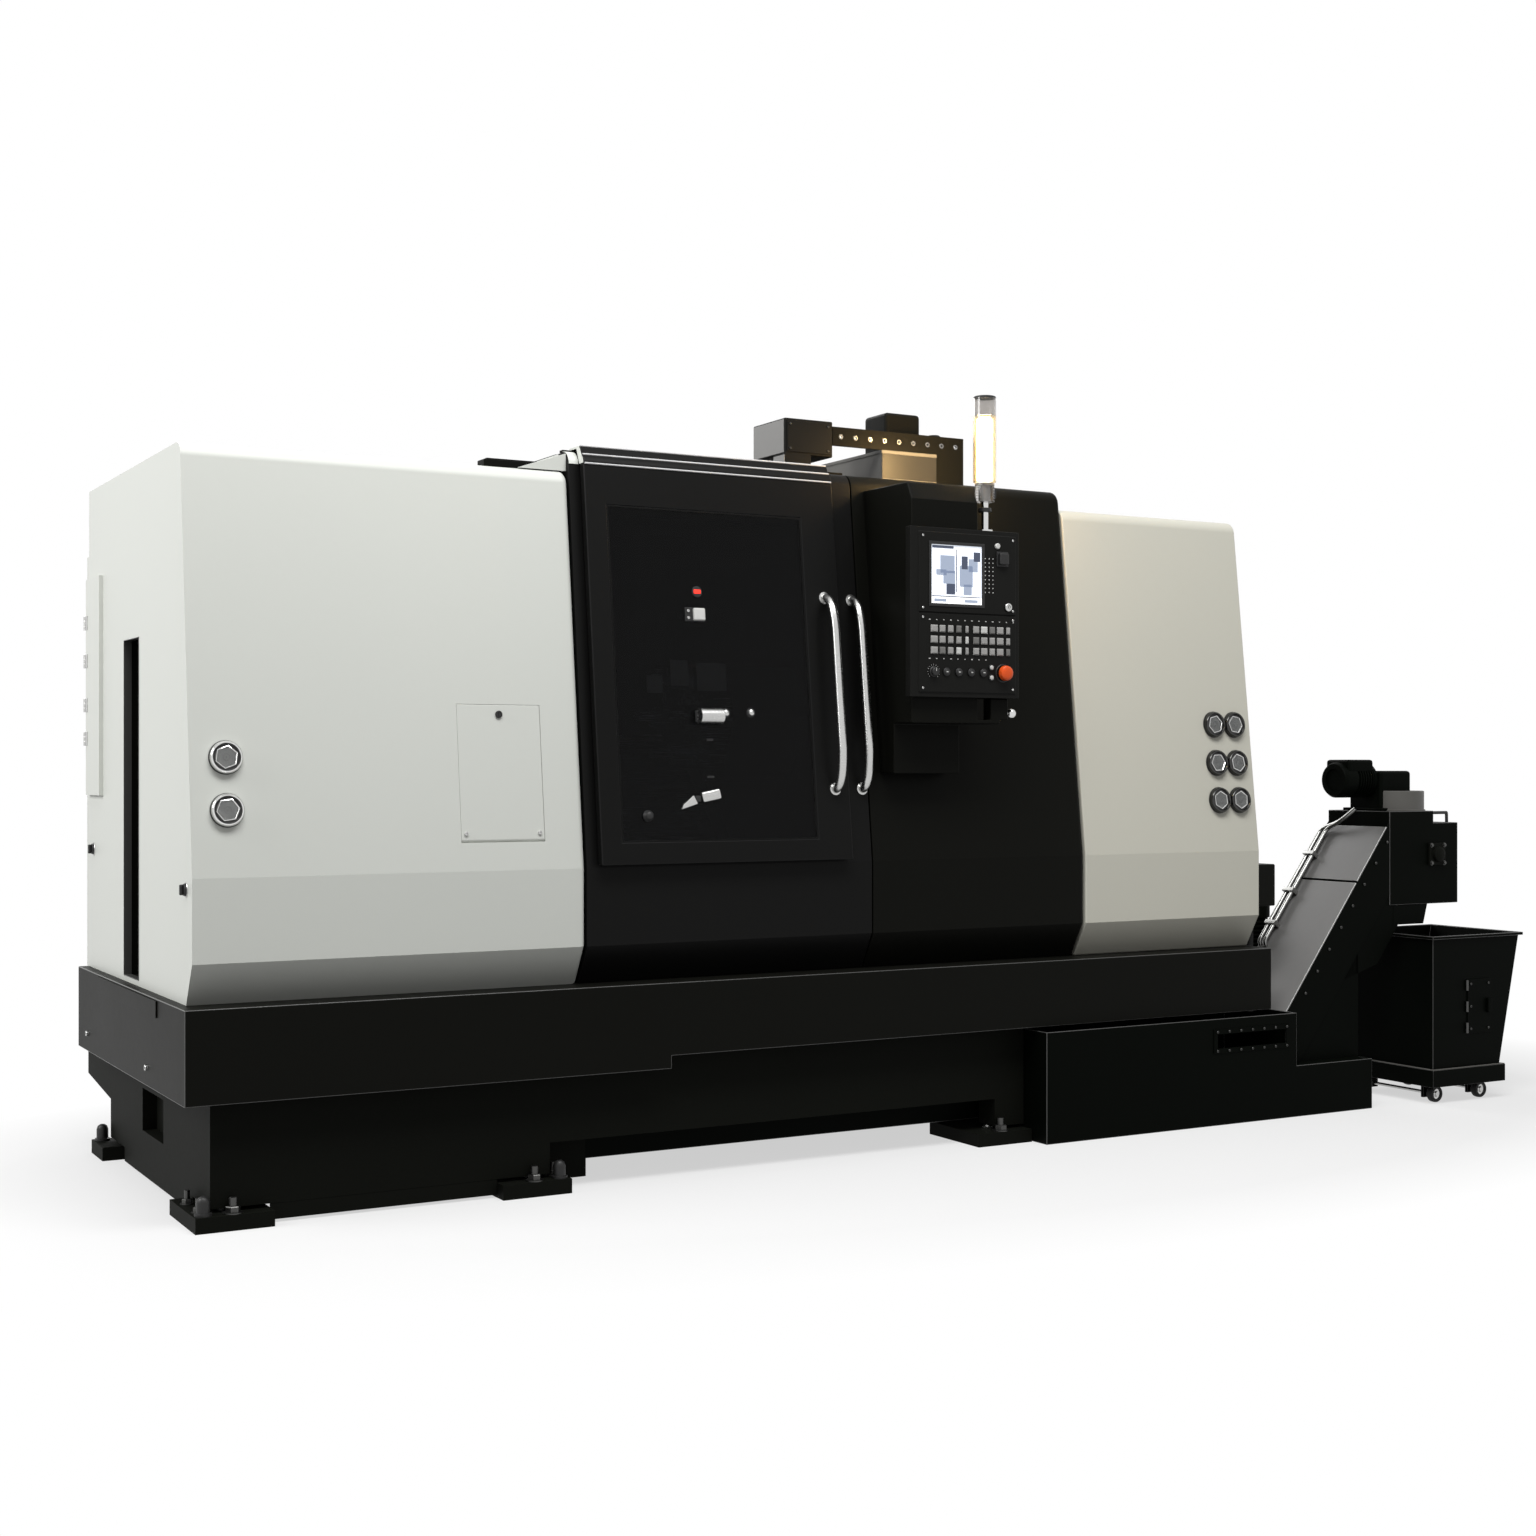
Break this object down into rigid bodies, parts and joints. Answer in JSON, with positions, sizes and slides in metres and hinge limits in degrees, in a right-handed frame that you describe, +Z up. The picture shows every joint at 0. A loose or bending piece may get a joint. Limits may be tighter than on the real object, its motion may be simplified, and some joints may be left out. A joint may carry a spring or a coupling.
{
  "type": "cnc turning lathe",
  "caption": "Large enclosed slant-bed turning lathe with a sliding door, hanging console, signal lamp, chip conveyor and chip cart.",
  "frame": {"origin": "on the floor, in the middle of the four outer anchor holes of the main base", "axes": "+X runs along the spindle from the headstock to the tailstock, +Y from the door to the back, +Z up"},
  "size_m": [4.6594, 1.779, 2.28],
  "materials": {
    "cover_paint": "light grey, fine satin paint on folded sheet",
    "black_paint": "black semi-gloss paint on folded sheet",
    "base_paint": "dark paint on a rough casting",
    "grey_sheet": "plain grey sheet",
    "machine_iron": "machined and oiled iron",
    "ground_steel": "turned and ground steel",
    "bright_chrome": "polished chrome",
    "dark_glass": "dark tinted safety glass",
    "screen_glass": "lit display",
    "amber_lens": "lit amber lens",
    "key_plastic": "grey moulded keys",
    "knob_plastic": "black moulded plastic",
    "stop_red": "orange-red moulded button",
    "belt_rubber": "black rubber"
  },
  "bodies": {
    "machine": {"base_casting": "base_paint", "console_box": "black_paint", "console_duct": "black_paint", "console_keys": "key_plastic", "conveyor_covers": "grey_sheet", "conveyor_head": "black_paint", "conveyor_motor": "base_paint", "conveyor_tank": "black_paint", "conveyor_trunk": "black_paint", "coolant_pump": "base_paint", "door_frame": "black_paint", "door_rail": "black_paint", "drip_pan": "black_paint", "drive_belt": "belt_rubber", "enclosure": "black_paint", "front_panel": "black_paint", "gauges": "bright_chrome", "grab_handle": "bright_chrome", "headstock": "machine_iron", "headstock_cover": "cover_paint", "lcd_screen": "screen_glass", "levelling_pads": "base_paint", "levelling_screws": "ground_steel", "rear_cabinet": "cover_paint", "roof_box": "grey_sheet", "roof_bracket": "black_paint", "roof_housing": "grey_sheet", "roof_motor": "black_paint", "signal_lamp": "amber_lens", "signal_pole": "bright_chrome", "slant_bed": "machine_iron", "slot_channel": "black_paint", "spindle_motor": "base_paint", "tailstock_cover": "cover_paint"},
    "door": {"door_panel": "black_paint", "door_window": "dark_glass", "door_handle": "bright_chrome"},
    "hatch": {"hatch": "cover_paint"},
    "hatch_lock": {"hatch_lock": "knob_plastic"},
    "end_latch_front": {"end_latch_front": "knob_plastic"},
    "end_latch_rear": {"end_latch_rear": "knob_plastic"},
    "spindle": {"spindle": "ground_steel", "chuck": "ground_steel"},
    "jaw_1": {"jaw_1": "ground_steel"},
    "jaw_2": {"jaw_2": "ground_steel"},
    "jaw_3": {"jaw_3": "ground_steel"},
    "motor_pulley": {"motor_pulley": "ground_steel"},
    "saddle": {"saddle": "machine_iron"},
    "turret_slide": {"turret_slide": "machine_iron"},
    "turret_disc": {"turret_disc": "machine_iron"},
    "tailstock": {"tailstock": "machine_iron"},
    "quill": {"quill": "ground_steel"},
    "stop_button": {"stop_button": "stop_red"},
    "override_knob": {"override_knob": "knob_plastic"},
    "jog_knob": {"jog_knob": "bright_chrome"},
    "cabinet_door": {"cabinet_door": "cover_paint"},
    "cart": {"cart_dolly": "black_paint", "cart_bin": "black_paint"},
    "cart_wheels_left": {"cart_wheels_left": "belt_rubber"},
    "cart_wheels_right": {"cart_wheels_right": "belt_rubber"}
  },
  "joints": [
    {"name": "door_slide", "type": "slide", "parent": "machine", "child": "door", "axis": [1, 0, 0], "range_m": [-0.77, 0]},
    {"name": "hatch_hinge", "type": "hinge", "parent": "machine", "child": "hatch", "pos_m": [-0.454, -0.58652, 0.96506], "axis": [1, 0, 0], "range_deg": [0, 90]},
    {"name": "hatch_lock_turn", "type": "hinge", "parent": "hatch", "child": "hatch_lock", "pos_m": [-0.454, -0.55691, 1.30085], "axis": [0, -0.9938, 0.1115], "range_deg": [0, 90]},
    {"name": "end_latch_front_turn", "type": "hinge", "parent": "machine", "child": "end_latch_front", "pos_m": [-1.287, -0.544, 0.851], "axis": [1, 0, 0], "range_deg": [0, 90]},
    {"name": "end_latch_rear_turn", "type": "hinge", "parent": "machine", "child": "end_latch_rear", "pos_m": [-1.287, 0.576, 0.915], "axis": [1, 0, 0], "range_deg": [0, 90]},
    {"name": "spindle_spin", "type": "hinge", "parent": "machine", "child": "spindle", "pos_m": [-0.138, -0.012, 1.12], "axis": [1, 0, 0], "continuous": true},
    {"name": "jaw_1_slide", "type": "slide", "parent": "spindle", "child": "jaw_1", "axis": [0, 0, 1], "range_m": [-0.01, 0.015]},
    {"name": "jaw_2_slide", "type": "slide", "parent": "spindle", "child": "jaw_2", "axis": [0, -0.866, -0.5], "range_m": [-0.01, 0.015]},
    {"name": "jaw_3_slide", "type": "slide", "parent": "spindle", "child": "jaw_3", "axis": [0, 0.866, -0.5], "range_m": [-0.01, 0.015]},
    {"name": "motor_pulley_spin", "type": "hinge", "parent": "machine", "child": "motor_pulley", "pos_m": [-0.929, -0.379, 0.698], "axis": [1, 0, 0], "continuous": true},
    {"name": "saddle_slide", "type": "slide", "parent": "machine", "child": "saddle", "axis": [1, 0, 0], "range_m": [-0.3, 0.05]},
    {"name": "turret_cross_slide", "type": "slide", "parent": "saddle", "child": "turret_slide", "axis": [0, 0.7071, 0.7071], "range_m": [-0.08, 0.1]},
    {"name": "turret_index", "type": "hinge", "parent": "turret_slide", "child": "turret_disc", "pos_m": [0.492, 0.19165, 1.32365], "axis": [1, 0, 0], "continuous": true},
    {"name": "tailstock_slide", "type": "slide", "parent": "machine", "child": "tailstock", "axis": [1, 0, 0], "range_m": [-0.06, 0.1]},
    {"name": "quill_slide", "type": "slide", "parent": "tailstock", "child": "quill", "axis": [1, 0, 0], "range_m": [-0.12, 0]},
    {"name": "stop_press", "type": "slide", "parent": "machine", "child": "stop_button", "axis": [0, 1, 0], "range_m": [0, 0.006], "stiffness_N_per_m": 800},
    {"name": "override_turn", "type": "hinge", "parent": "machine", "child": "override_knob", "pos_m": [0.814, -0.777, 1.438], "axis": [0, -1, 0], "range_deg": [-135, 135]},
    {"name": "jog_turn", "type": "hinge", "parent": "machine", "child": "jog_knob", "pos_m": [1.104, -0.727, 1.32], "axis": [1, 0, 0], "continuous": true},
    {"name": "cabinet_door_hinge", "type": "hinge", "parent": "machine", "child": "cabinet_door", "pos_m": [0.163, 0.957, 0.321], "axis": [0, 0, -1], "range_deg": [0, 110]},
    {"name": "cart_roll", "type": "slide", "parent": "machine", "child": "cart", "axis": [1, 0, 0], "range_m": [0, 0.6]},
    {"name": "cart_wheels_left_roll", "type": "hinge", "parent": "cart", "child": "cart_wheels_left", "pos_m": [2.95436, -0.742, 0.029], "axis": [0, 1, 0], "range_deg": [-10, 1200]},
    {"name": "cart_wheels_right_roll", "type": "hinge", "parent": "cart", "child": "cart_wheels_right", "pos_m": [3.17236, -0.742, 0.029], "axis": [0, 1, 0], "range_deg": [-10, 1200]}
  ],
  "couplings": [
    {"joint": "jaw_2_slide", "follows": "jaw_1_slide", "ratio": 1},
    {"joint": "jaw_3_slide", "follows": "jaw_1_slide", "ratio": 1},
    {"joint": "motor_pulley_spin", "follows": "spindle_spin", "ratio": 1},
    {"joint": "cart_wheels_left_roll", "follows": "cart_roll", "rad_per_m": 34.483},
    {"joint": "cart_wheels_right_roll", "follows": "cart_roll", "rad_per_m": 34.483}
  ]
}
